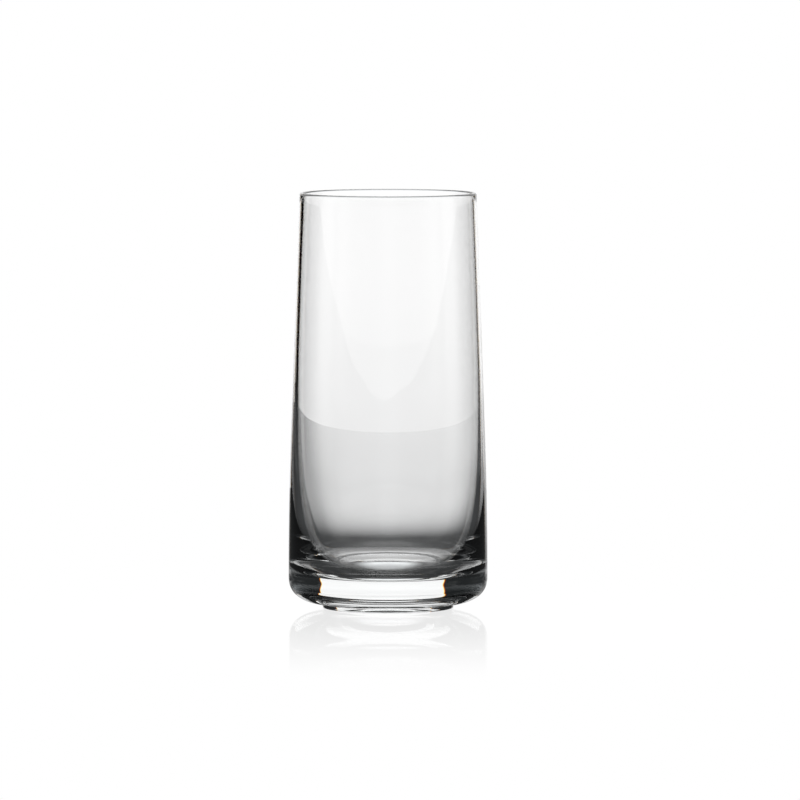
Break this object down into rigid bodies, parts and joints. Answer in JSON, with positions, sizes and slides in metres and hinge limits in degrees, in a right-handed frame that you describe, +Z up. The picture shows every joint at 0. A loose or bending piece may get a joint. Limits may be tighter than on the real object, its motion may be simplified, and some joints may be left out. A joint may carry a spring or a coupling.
{
  "type": "highball glass",
  "caption": "Tall clear drinking glass that narrows slightly to the rim, with a thick solid base, rounded heel and low foot.",
  "frame": {"origin": "centre of the foot's resting ring, on the surface that the glass stands on", "axes": "+Z up along the axis of the glass, towards the open rim; +X to the right and -Y towards the viewer of the reference picture"},
  "size_m": [0.0719, 0.0718, 0.15],
  "materials": {
    "clear_glass": "clear, colourless, fire-polished"
  },
  "bodies": {
    "root": {"tumbler": "clear_glass"}
  },
  "joints": []
}
